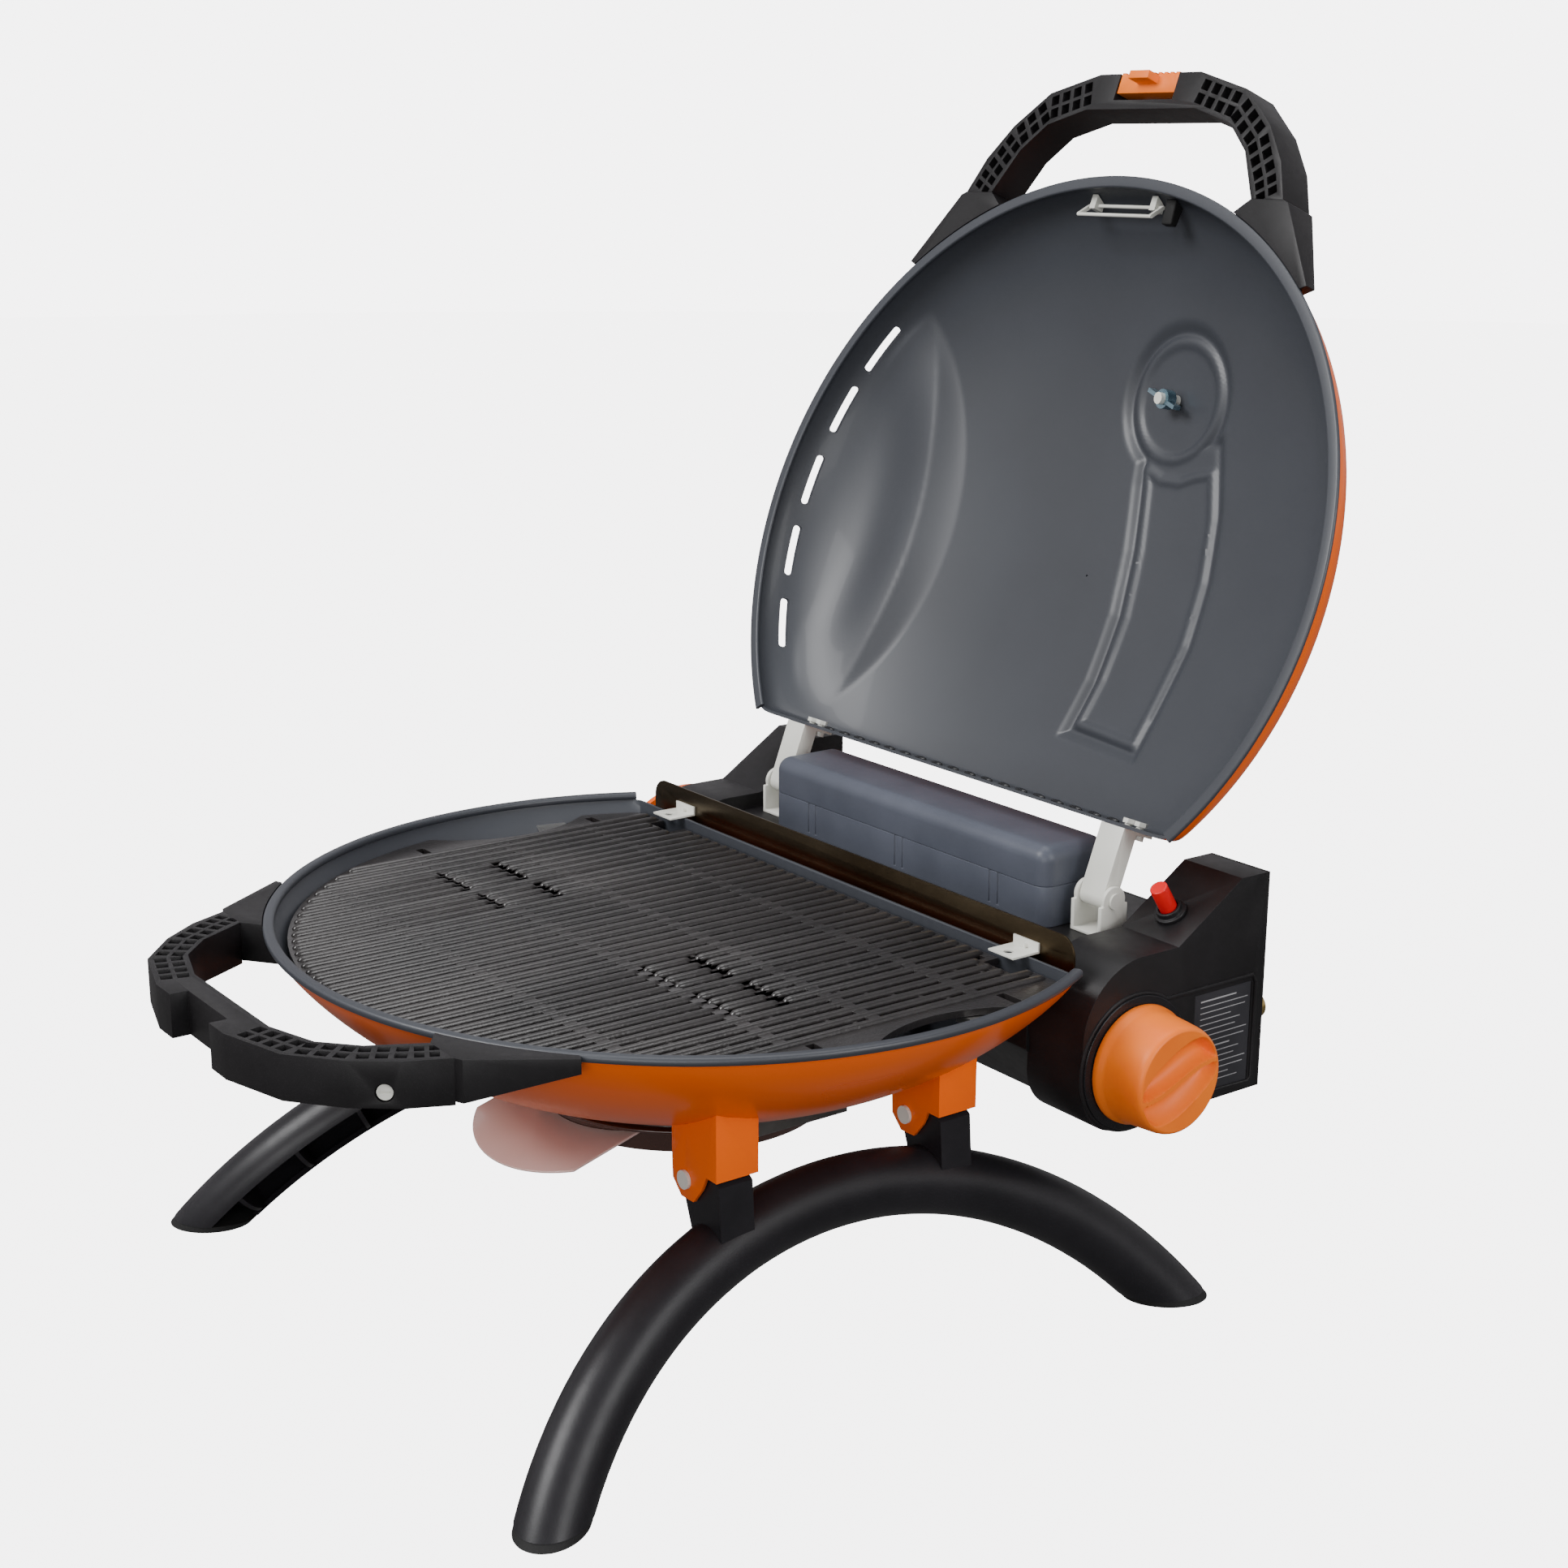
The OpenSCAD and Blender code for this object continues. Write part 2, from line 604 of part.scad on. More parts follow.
// ---------- lid hinge ----------
arm_half = 10;
module hinge_brackets() {
  color([0.8, 0.79, 0.76]) at_rim() difference() {
    both() translate([arm_x, 0, 0]) {
      for (s = [-1, 1]) translate([s * (arm_half + 1.9) - 1.4, 0, 0]) rotate([90, 0, 90])
        linear_extrude(2.8) union() {
          translate([hinge_y - 11, deck_z]) square([22, 20]);
          translate([hinge_y, hinge_z]) circle(r = 9, $fn = 48);
        }
      span([-arm_half - 3.3, hinge_y - 11, deck_z + 0.05], [arm_half + 3.3, hinge_y + 11, deck_z + 2]);
    }
    span([-300, 0, deck_z - 10], [300, 400, deck_z + 0.05]);
    both() translate([arm_x - 30, hinge_y, hinge_z]) rod_x(3, 60, 48);
  }
}
module hinge_pins() {
  color([0.9, 0.9, 0.88]) at_rim() both() translate([arm_x, hinge_y, hinge_z]) {
    translate([-arm_half - 3.4, 0, 0]) rod_x(3, 2 * arm_half + 6.8, 48);
    for (m = [0, 1]) mirror([m, 0, 0]) translate([arm_half + 3.35, 0, 0]) rod_x(5, 1.8, 32);
  }
}
module hinge_arms() {
  color([0.92, 0.91, 0.87]) at_lid() difference() {
    both() translate([arm_x, 0, 0]) {
      difference() {
        along_x(-arm_half, arm_half) union() {
          translate([lid_back + 0.1, 2.5]) square([hinge_y - lid_back, 12]);
          translate([hinge_y, hinge_z]) circle(r = 7, $fn = 48);
          translate([lid_back + 0.1, 2.5]) square([2.2, 26]);
        }
        span([-arm_half + 2, lid_back + 2.4, 4.7], [arm_half - 2, hinge_y - 8, 40]);
      }
    }
    both() translate([arm_x - 30, hinge_y, hinge_z]) rod_x(3.05, 60, 48);
    both() for (s = [-1, 1]) translate([arm_x + s * 5, lid_back - 3, 21]) rod_y(2.5, 10, 24);
  }
}
module hinge_bolts() {
  color([0.85, 0.85, 0.83]) at_lid() both() for (s = [-1, 1]) translate([arm_x + s * 5, lid_back - 5, 21]) {
    rod_y(2.5, 8, 24);
    translate([0, 7.4, 0]) rod_y(4, 3, 24);
    translate([0, -1, 0]) rotate([-90, 0, 0]) cylinder(r = 4.2, h = 3.9 - sheet + 1, $fn = 6);
  }
}

// ---------- accessory case ----------
case_x = 141;
case_y0 = 170;
case_y1 = 218;
case_seam = 13;
case_top = 38;
module case_plan(g) {
  translate([-case_x + g, case_y0 + g])
    rounded(2 * (case_x - g), case_y1 - case_y0 - 2 * g, 10 - g);
}
module case_box() {
  color([0.27, 0.29, 0.34]) at_rim() difference() {
    translate([0, 0, deck_z + 0.1]) linear_extrude(case_seam - deck_z - 0.1) case_plan(0);
    translate([0, 0, deck_z + 3]) linear_extrude(60) case_plan(2.5);
    for (x = [-95, 0, 95]) for (s = [-4, 4])
      span([x + s - 1, case_y0 - 1, -8], [x + s + 1, case_y0 + 1, case_seam + 1]);
  }
}
module case_lid() {
  color([0.3, 0.32, 0.37]) at_rim() difference() {
    union() {
      intersection() {
        translate([0, 0, case_seam + 0.4]) linear_extrude(case_top - case_seam - 0.4) case_plan(0);
        along_x(-case_x, case_x) union() {
          translate([case_y0, 0]) square([case_y1 - case_y0, case_top - 12]);
          translate([case_y0 + 12, 0]) square([case_y1 - case_y0 - 20, case_top]);
          translate([case_y0 + 12, case_top - 12]) circle(r = 12, $fn = 64);
          translate([case_y1 - 12, case_top - 12]) circle(r = 12, $fn = 64);
        }
      }
      along_x(-40, 40) union() {
        translate([case_y1 + 3.4, case_seam + 3]) circle(r = 3, $fn = 32);
        translate([case_y1 - 1, case_seam + 3]) square([4.4, 3]);
      }
    }
    translate([0, 0, 0]) linear_extrude(case_top - 12) case_plan(2.5);
    along_x(-50, 50) translate([case_y1 + 3.4, case_seam + 3]) circle(r = 1.55, $fn = 32);
    span([-125, case_y0 + 14, 0], [125, case_y1 - 14, case_top - 2.5]);
    // room for the hinge ears as the lid swings
    both() span([40, case_y1 - 1.6, 0], [45.5, case_y1 + 1, case_seam + 9]);
  }
}
module case_hinge_pin() {
  color(steel) at_rim() {
    translate([-46, case_y1 + 3.4, case_seam + 3]) rod_x(1.5, 92, 32);
    difference() {
      both() span([40.5, case_y1 + 0.05, -10], [45, case_y1 + 6.4, case_seam + 6]);
      translate([-46, case_y1 + 3.4, case_seam + 3]) rod_x(1.45, 92, 32);
    }
  }
}

// ---------- lid ----------
slots = [[-219, -131, -33], [-244, -80, -64], [-257, -23, -81], [-256, 33, 83], [-241, 88, 70]];
thermo = [40, -124];
thermo_h = 71;
module at_thermo() { translate([thermo[0], thermo[1], thermo_h]) rotate([10, 6, 0]) children(); }
module lid_shell() {
  color(slate) at_lid() difference() {
    union() {
      intersection() { dome_fill(0); front_of(lid_back); }
      intersection() { rim_ring(0, 0.5, 3.2); front_of(lid_back); }
    }
    intersection() { dome_fill(-sheet); front_of(lid_back - sheet); }
    span([-400, -400, -10], [400, 400, 0.5]);
    for (p = slots) translate([p[0], p[1], 22]) rotate([0, 0, p[2]])
      translate([-19, -16, -2.5]) cube([38, 32, 5]);
    both() for (s = [-1, 1]) translate([arm_x + s * 5, lid_back - 10, 21]) rod_y(2.5, 20, 24);
    at_thermo() translate([0, 0, -10]) cylinder(r = 4, h = 30, $fn = 32);
  }
}
module thermo_case() {
  color([0.8, 0.8, 0.8]) at_lid() at_thermo() {
    difference() {
      translate([0, 0, 3]) cylinder(r = 25, h = 10, $fn = 64);
      translate([0, 0, 5.5]) cylinder(r = 22.5, h = 10, $fn = 64);
    }
    translate([0, 0, -16]) cylinder(r = 3.9, h = 20, $fn = 32);
    translate([0, 0, 5]) cylinder(r = 1, h = 3.5, $fn = 24);
  }
}
module thermo_needle() {
  color([0.8, 0.05, 0.03]) at_lid() at_thermo() translate([0, 0, 7]) difference() {
    union() {
      linear_extrude(0.8) polygon([[-1.6, -6], [1.6, -6], [0.6, 18], [-0.6, 18]]);
      cylinder(r = 3, h = 0.8, $fn = 32);
    }
    translate([0, 0, -1]) cylinder(r = 1.05, h = 3, $fn = 24);
  }
}
module thermo_lens() {
  color([0.8, 0.9, 0.95, 0.4]) at_lid() at_thermo()
    translate([0, 0, 10.9]) cylinder(r = 22.45, h = 1.6, $fn = 64);
}
module thermo_nut() {
  color([0.5, 0.62, 0.7]) at_lid() at_thermo() translate([0, 0, -12.5]) difference() {
    union() {
      cylinder(r = 6.5, h = 7, $fn = 32);
      for (s = [0, 180]) rotate([0, 0, s + 20]) translate([5, -1.4, -1]) cube([10, 2.8, 6]);
    }
    translate([0, 0, -3]) cylinder(r = 3.95, h = 14, $fn = 32);
  }
}
catch_y = -236;
catch_z = 17;
module catch_clips() {
  color(steel) at_lid() difference() {
    // the outer edge follows the dome's wall
    for (x = [-33, 23]) along_x(x, x + 5) polygon([[-242.4, catch_z - 4], [catch_y + 3, catch_z - 4],
      [catch_y + 3, catch_z + 4], [-238.2, catch_z + 4]]);
    translate([-50, catch_y, catch_z]) rod_x(1.3, 100, 24);
  }
}
catch_reach = 12;  // from the wire's pivot to its far bar
catch_dip = 44;    // how far the wire points down when the lid is shut
module catch_wire() {
  color([0.9, 0.88, 0.8]) at_lid() translate([0, catch_y, catch_z]) rotate([-catch_dip, 0, 0]) {
    translate([-37, 0, 0]) rod_x(1.22, 69, 24);
    for (x = [-36, 31]) translate([x - 1.2, 0, -1.2]) cube([2.4, catch_reach, 2.4]);
    translate([-37, catch_reach, 0]) rod_x(1.2, 69, 24);
  }
}
module lid_bumper() {
  color(black) at_lid() along_x(37.5, 46.5)
    polygon([[-240.6, 11.5], [-224, 13], [-224, 19], [-236.9, 20.5]]);
}
// ---------- what is drawn ----------
bowl_shell();
bowl_rim();
grate_rests();
burner();
venturi_tube();
burner_clamp();
gas_valve();
valve_stem();
gas_inlet();
igniter_body();
igniter_collar();
igniter_button();
spark_electrode();
cooking_grate();
wind_guard();
guard_clips();
grease_funnel();
pan_rails();
grease_pan();
pan_tab();
front_handle();
front_handle_ends();
front_handle_screws();
leg_brackets();
leg_pins();
leg_springs();
leg_left();
leg_right();
pads_left();
pads_right();
rear_housing();
rear_cover();
cover_screws();
knob_bezel();
control_knob();
label_plate();
left_cap();
hinge_brackets();
hinge_pins();
case_box();
case_lid();
case_hinge_pin();
lid_shell();
hinge_arms();
hinge_bolts();
lid_handle();
lid_handle_ends();
lid_handle_screws();
latch_button();
catch_wire();
catch_clips();
lid_bumper();
thermo_case();
thermo_needle();
thermo_lens();
thermo_nut();
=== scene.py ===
"""Looks of a folding table-top gas grill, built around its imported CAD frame."""
import json
import math

import bmesh
import bpy
from mathutils import Matrix, Vector

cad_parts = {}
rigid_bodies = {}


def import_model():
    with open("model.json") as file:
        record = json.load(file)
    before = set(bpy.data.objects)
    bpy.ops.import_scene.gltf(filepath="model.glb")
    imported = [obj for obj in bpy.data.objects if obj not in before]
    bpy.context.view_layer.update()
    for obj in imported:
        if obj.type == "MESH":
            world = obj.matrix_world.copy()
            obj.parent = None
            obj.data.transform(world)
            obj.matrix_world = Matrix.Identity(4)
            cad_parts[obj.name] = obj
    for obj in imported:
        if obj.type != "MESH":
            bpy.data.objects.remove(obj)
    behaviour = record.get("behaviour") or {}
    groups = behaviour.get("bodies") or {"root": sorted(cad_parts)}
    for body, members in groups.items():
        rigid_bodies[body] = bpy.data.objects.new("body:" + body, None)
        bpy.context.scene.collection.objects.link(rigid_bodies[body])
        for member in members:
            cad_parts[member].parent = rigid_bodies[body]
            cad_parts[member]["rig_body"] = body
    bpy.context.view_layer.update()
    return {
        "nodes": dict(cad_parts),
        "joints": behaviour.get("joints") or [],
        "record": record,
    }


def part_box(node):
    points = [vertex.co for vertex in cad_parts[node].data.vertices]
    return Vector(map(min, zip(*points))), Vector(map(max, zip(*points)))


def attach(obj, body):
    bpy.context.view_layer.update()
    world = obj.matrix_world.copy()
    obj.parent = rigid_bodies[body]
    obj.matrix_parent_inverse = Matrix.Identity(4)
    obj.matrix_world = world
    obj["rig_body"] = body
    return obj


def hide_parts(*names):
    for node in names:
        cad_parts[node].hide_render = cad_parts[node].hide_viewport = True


MM = 0.001
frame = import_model()

# ---------- sizes in millimetres, and where things are, read from the frame ----------
RIM_A = 265.0            # half width of the rim ellipse
RIM_B = 251.5            # half depth of the rim ellipse
WALL_A = RIM_A - 3.0     # half width of the pressed sheet at the rim
SHEET = 2.0              # thickness of the pressed sheet
BOWL_DEPTH = 104.0
BOWL_LIP = 5.0           # the bowl's sheet ends this far under the rim
DOME_H = 80.0
DOME_LIP = 3.0           # the shut lid's sheet starts this far above it
BOWL_BACK = 115.5        # flat rear walls, behind the rim's middle
LID_BACK = 152.6

rim_lo, rim_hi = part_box("bowl_rim")
ORIGIN = Vector(((rim_lo.x + rim_hi.x) / 2, rim_lo.y + RIM_B * MM, rim_hi.z))
LID_HINGE = next(j for j in frame["joints"] if j["name"] == "lid_hinge")
HINGE = Vector(LID_HINGE["pos_m"])
LID_OPEN = math.radians(-LID_HINGE["range_deg"][0])
LID_TURN = (Matrix.Translation(HINGE) @ Matrix.Rotation(-LID_OPEN, 4, "X")
            @ Matrix.Translation(-HINGE))


def base_frame():
    """From millimetres about the middle of the rim to the frame's metres."""
    return Matrix.Translation(ORIGIN) @ Matrix.Scale(MM, 4)


def lid_frame():
    """The same for what is drawn in the shut lid."""
    return LID_TURN @ base_frame()


# ---------- materials ----------
class Mat:
    """One principled material and short helpers for its nodes."""

    def __init__(self, name, **sockets):
        self.mat = bpy.data.materials.new(name)
        self.mat.use_nodes = True
        self.tree = self.mat.node_tree
        self.bsdf = self.tree.nodes["Principled BSDF"]
        for key, value in sockets.items():
            self.bsdf.inputs[key.replace("_", " ")].default_value = value
        self.coord = self.tree.nodes.new("ShaderNodeTexCoord").outputs["Object"]

    def node(self, kind, **inputs):
        """A new node; an input's name is given with _ for each space."""
        n = self.tree.nodes.new("ShaderNode" + kind)
        for key, value in inputs.items():
            n.inputs[key.replace("_", " ")].default_value = value
        return n

    def link(self, out, into):
        self.tree.links.new(out, into)

    def stretch(self, scale):
        """Object coordinates drawn out, for brushed metal."""
        n = self.node("Mapping", Scale=scale)
        self.link(self.coord, n.inputs["Vector"])
        return n.outputs["Vector"]

    def noise(self, scale, detail, vector=None):
        n = self.node("TexNoise", Scale=scale, Detail=detail)
        self.link(vector or self.coord, n.inputs["Vector"])
        return n.outputs["Fac"]

    def between(self, fac, low, high):
        """Spreads a factor from 0-1 to low-high."""
        n = self.node("MapRange", To_Min=low, To_Max=high)
        self.link(fac, n.inputs["Value"])
        return n.outputs["Result"]

    def colour(self, fac, dark, light, low=0.3, high=0.7):
        ramp = self.node("ValToRGB")
        for end, at, rgb in zip(ramp.color_ramp.elements, (low, high), (dark, light)):
            end.position = at
            end.color = (*rgb, 1)
        self.link(fac, ramp.inputs["Fac"])
        self.link(ramp.outputs["Color"], self.bsdf.inputs["Base Color"])

    def rough(self, fac, smoothest, coarsest):
        self.link(self.between(fac, smoothest, coarsest), self.bsdf.inputs["Roughness"])

    def bump(self, fac, strength, distance):
        """Adds a bump, on top of the one before if there is one."""
        n = self.node("Bump", Strength=strength, Distance=distance)
        self.link(fac, n.inputs["Height"])
        before = self.bsdf.inputs["Normal"].links
        if before:
            self.link(before[0].from_socket, n.inputs["Normal"])
        self.link(n.outputs["Normal"], self.bsdf.inputs["Normal"])


def painted(name, dark, light, rough, coat, shine=0.5):
    """Sprayed or enamelled sheet, nearly even in colour."""
    m = Mat(name, Coat_Weight=coat, Coat_Roughness=0.06, Specular_IOR_Level=shine)
    m.colour(m.noise(9, 2), dark, light)
    m.rough(m.noise(12, 2), *rough)
    return m.mat


def moulded(name, dark, light, grain=1500, rough=(0.38, 0.5), depth=0.35):
    """Plastic, or a small cast part, with a fine grain."""
    m = Mat(name, Specular_IOR_Level=0.35)
    m.colour(m.noise(25, 5), dark, light)
    m.rough(m.noise(140, 4), *rough)
    m.bump(m.noise(grain, 3), depth, 0.00012)
    return m.mat


def metal(name, dark, light, rough, brushed=(1, 1, 1)):
    """Bare or plated metal, with its grain drawn out by brushed."""
    m = Mat(name, Metallic=1.0)
    m.colour(m.noise(30, 5), dark, light)
    streaks = m.stretch(brushed)
    m.rough(m.noise(500, 4, streaks), *rough)
    m.bump(m.noise(700, 3, streaks), 0.12, 0.0001)
    return m.mat


def cast(name):
    """Black enamel over a pitted casting, a little brown where it has been hot."""
    m = Mat(name, Coat_Weight=0.6, Coat_Roughness=0.2)
    m.colour(m.noise(14, 6), (0.012, 0.0105, 0.0105), (0.028, 0.024, 0.023), 0.35, 0.75)
    m.rough(m.noise(90, 5), 0.24, 0.42)
    m.bump(m.noise(420, 5), 0.55, 0.0006)
    m.bump(m.noise(60, 2), 0.3, 0.0008)
    return m.mat


def heat_tinted(name):
    """Stainless strip gone bronze behind the fire, in drifts of light and dark."""
    m = Mat(name, Metallic=1.0)
    m.colour(m.noise(7, 4), (0.055, 0.038, 0.02), (0.15, 0.115, 0.07), 0.35, 0.75)
    m.rough(m.noise(300, 4, m.stretch((1, 12, 12))), 0.22, 0.4)
    m.bump(m.noise(500, 3, m.stretch((1, 14, 14))), 0.15, 0.0001)
    return m.mat


def glass(name):
    m = Mat(name, Transmission_Weight=1.0, IOR=1.49, Roughness=0.03)
    m.colour(m.noise(20, 2), (0.96, 0.98, 1.0), (1.0, 1.0, 1.0))
    return m.mat


ORANGE = painted("orange_paint", (0.94, 0.132, 0.0), (0.96, 0.138, 0.0), (0.26, 0.3), 0.1, 0.22)
SLATE = painted("slate_enamel", (0.036, 0.039, 0.047), (0.042, 0.046, 0.055), (0.4, 0.46), 0.05)
PAN_BROWN = painted("pan_enamel", (0.035, 0.012, 0.008), (0.075, 0.028, 0.018), (0.18, 0.3), 0.9)
BLACK = moulded("black_plastic", (0.006, 0.0055, 0.006), (0.011, 0.01, 0.011))
LEG_BLACK = moulded("leg_plastic", (0.009, 0.0085, 0.0105), (0.015, 0.014, 0.0165), 900, (0.34, 0.44))
CASE_GREY = moulded("case_plastic", (0.066, 0.073, 0.094), (0.082, 0.09, 0.115), 1200, (0.36, 0.46))
KNOB_ORANGE = moulded("orange_plastic", (0.93, 0.17, 0.006), (1.0, 0.22, 0.012), 1100, (0.38, 0.5), 0.2)
RED = moulded("red_plastic", (0.6, 0.004, 0.006), (0.74, 0.008, 0.01), 500, (0.2, 0.28), 0.1)
RUBBER = moulded("rubber", (0.008, 0.008, 0.008), (0.014, 0.014, 0.014), 700, (0.65, 0.8))
BEZEL = moulded("bezel_plastic", (0.008, 0.008, 0.009), (0.014, 0.014, 0.016), 900, (0.22, 0.32))
LABEL = moulded("label", (0.024, 0.024, 0.028), (0.036, 0.036, 0.041), 500, (0.4, 0.5), 0.1)
PRINT = moulded("label_print", (0.3, 0.3, 0.31), (0.42, 0.42, 0.43), 400, (0.5, 0.6), 0.05)
NICKEL = moulded("zinc", (0.66, 0.66, 0.6), (0.76, 0.76, 0.7), 700, (0.2, 0.3), 0.1)
STEEL = metal("steel", (0.4, 0.39, 0.37), (0.62, 0.61, 0.58), (0.25, 0.42), (1, 14, 1))
BLUE_ZINC = metal("blue_zinc", (0.16, 0.3, 0.38), (0.42, 0.58, 0.66), (0.2, 0.35))
BRASS = metal("brass", (0.5, 0.36, 0.13), (0.72, 0.54, 0.24), (0.2, 0.34))
TAB_STEEL = painted("tab_enamel", (0.72, 0.44, 0.38), (0.84, 0.6, 0.55), (0.12, 0.22), 1.0)
CERAMIC = moulded("ceramic", (0.72, 0.7, 0.65), (0.84, 0.83, 0.79), 300, (0.2, 0.3), 0.1)
GUARD = heat_tinted("guard_steel")
IRON = cast("cast_iron")
CLEAR = glass("clear")

SLOT_MATERIAL = {
    "orange_paint": ORANGE, "slate_enamel": SLATE, "lid_enamel": SLATE, "black_plastic": BLACK,
    "leg_plastic": LEG_BLACK, "rubber": RUBBER, "cast_iron": IRON, "steel": STEEL, "zinc": NICKEL,
    "blue_zinc": BLUE_ZINC, "guard_steel": GUARD, "pan_enamel": PAN_BROWN, "tab_steel": TAB_STEEL,
    "orange_plastic": KNOB_ORANGE, "red_plastic": RED, "case_plastic": CASE_GREY,
    "bezel_plastic": BEZEL, "label": LABEL, "brass": BRASS, "ceramic": CERAMIC, "clear": CLEAR,
}
NODE_SLOT = {s["node"]: s["material_slot"] for s in frame["record"]["subparts"]}


def dress_cad():
    """Gives every CAD node the material of its slot."""
    for name, obj in frame["nodes"].items():
        obj.data.materials.clear()
        obj.data.materials.append(SLOT_MATERIAL[NODE_SLOT[name]])


# ---------- objects ----------
def add_object(name, data):
    obj = bpy.data.objects.new(name, data)
    bpy.context.scene.collection.objects.link(obj)
    return obj


def mesh_object(name, bm, materials):
    """Turns a bmesh into a smooth-shaded object."""
    mesh = bpy.data.meshes.new(name)
    bm.to_mesh(mesh)
    bm.free()
    for material in materials:
        mesh.materials.append(material)
    for face in mesh.polygons:
        face.use_smooth = True
    return add_object(name, mesh)


def piece(name, bm, place, body, materials, replaces=(), closed=True):
    """Turns a bmesh, set where it goes by place, into a piece that rides a body."""
    bm.transform(place)
    if closed:
        bmesh.ops.recalc_face_normals(bm, faces=bm.faces)
    obj = mesh_object(name, bm, materials)
    obj.data.set_sharp_from_angle(angle=math.radians(35))
    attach(obj, body)
    if replaces:
        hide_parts(*replaces)
    return obj


def apply(obj, kind, **settings):
    """Adds one modifier and applies it."""
    mod = obj.modifiers.new(kind.lower(), kind)
    for key, value in settings.items():
        setattr(mod, key, value)
    graph = bpy.context.evaluated_depsgraph_get()
    new = bpy.data.meshes.new_from_object(obj.evaluated_get(graph))
    obj.modifiers.clear()
    old, obj.data = obj.data, new
    bpy.data.meshes.remove(old)


def thicken(obj):
    """Gives a sheet its thickness inwards; its inside and edge take the second material."""
    apply(obj, "SOLIDIFY", thickness=SHEET * MM, offset=-1, use_even_offset=True,
          material_offset=1, material_offset_rim=1)


def round_edges(obj, width, segments, angle):
    """Rounds the edges that turn by more than an angle in degrees."""
    apply(obj, "BEVEL", width=width * MM, segments=segments, limit_method="ANGLE",
          angle_limit=math.radians(angle), use_clamp_overlap=True)


# ---------- outlines and skins ----------
def circle(radius, count):
    """Points of a circle about zero."""
    turns = [2 * math.pi * k / count for k in range(count)]
    return [(radius * math.cos(a), radius * math.sin(a)) for a in turns]


def rounded_box(w, h, r, steps=4):
    """Outline of a rectangle w by h with round corners, centred on zero."""
    out = []
    for cx, cy, start in ((1, 1, 0), (-1, 1, 90), (-1, -1, 180), (1, -1, 270)):
        for i in range(steps + 1):
            a = math.radians(start + 90 * i / steps)
            out.append((cx * (w / 2 - r) + r * math.cos(a), cy * (h / 2 - r) + r * math.sin(a)))
    return out


def shifted(outline, dx, dy):
    return [(u + dx, v + dy) for u, v in outline]


def skin(bm, loops):
    """Joins each loop of vertices to the next with quads."""
    for a, b in zip(loops, loops[1:]):
        for k in range(len(a)):
            n = (k + 1) % len(a)
            bm.faces.new((a[k], a[n], b[n], b[k]))


def sweep(bm, path, section, closed=False):
    """Skins a section along a path, a list of functions that place its points (u, v)."""
    rings = [[bm.verts.new(at(u, v)) for u, v in section] for at in path]
    if closed:
        skin(bm, rings + rings[:1])
    else:
        skin(bm, rings)
        bm.faces.new(rings[0])
        bm.faces.new(rings[-1][::-1])


def smooth(t):
    """Eases from 0 to 1 as t goes from 0 to 1."""
    t = min(1.0, max(0.0, t))
    return t * t * (3 - 2 * t)


def soft_min(a, b, k=0.012):
    """The smaller of two shares of the half width, rounded where they meet."""
    return -k * math.log(math.exp(-a / k) + math.exp(-min(b, 2.0) / k))


# ---------- thin domed sheets ----------
def dome_z(q):
    """Height of the lid at a share q of the way from its middle to its rim."""
    return DOME_LIP + (DOME_H - DOME_LIP) * max(0.0, 1 - q ** 2.3) ** 0.5


def bowl_z(q):
    return -BOWL_LIP - (BOWL_DEPTH - BOWL_LIP) * max(0.0, 1 - q ** 2.7) ** 0.85


def sheet_grid(height, back, relief, q_start, spokes, rings):
    """A pressed sheet with an elliptical rim, cut flat at y = back."""
    wall_b = WALL_A * RIM_B / RIM_A
    even = 0.72          # this share of the rings is spaced evenly, the rest crowd at the rim
    bm = bmesh.new()
    grid = []
    for c, s in circle(1, spokes):
        reach = back / (wall_b * s) if s > 0.05 else 2.0
        edge = min(reach, 0.93)
        column = []
        for i in range(rings + 1):
            t = i / rings
            if t < even:
                q = q_start + (edge - q_start) * t / even
            else:
                q = edge + (1 - edge) * (1 - (1 - (t - even) / (1 - even)) ** 2)
            r = soft_min(q, reach)
            x, y = WALL_A * r * c, wall_b * r * s
            fade = smooth((edge - q) / 0.03 + 1)
            column.append(bm.verts.new((x, y, height(q) + relief(x, y) * fade)))
        grid.append(column)
    for k in range(spokes):
        a, b = grid[k], grid[(k + 1) % spokes]
        for i in range(rings):
            bm.faces.new((a[i], a[i + 1], b[i + 1], b[i]))
    if q_start < 0.01:
        middle = [column[0] for column in grid]
        bmesh.ops.remove_doubles(bm, verts=middle, dist=WALL_A * q_start + 0.1)
    return bm


# ---------- the lid's pressed relief ----------
BADGE = (44.0, -124.0)           # middle of the thermometer's pressed ring
BADGE_R = 38.0
PANEL_END_R = 49.0               # the panel's round end, about the badge
PANEL_RISE, PANEL_SLOPE = 2.4, 7.0
BEAD_RISE, BEAD_IN = 1.1, 5.0    # a bead inside the panel's edge
PANEL = [(16, -104), (20, -66), (29, -22), (34, 22), (32, 69), (25, 108), (103, 113), (110, 72),
         (117, 33), (116, -11), (108, -56), (93, -104)]
PLAQUE = [(26, -78), (31, -66), (40, -22), (45, 22), (43, 66), (37, 98), (94, 102), (100, 68),
          (106, 32), (105, -10), (98, -51), (88, -80), (74, -77), (60, -72), (42, -72)]
CREST_X, FOOT_X = -162, -136     # the crescent's outer and inner edge where it is widest
OUTER_SLOPE = 62                 # how wide it slopes away outside the crest
CRESCENT_DEPTH = 9.5
CRESCENT_FADE = 24               # the dent is shallower where it is narrower than this


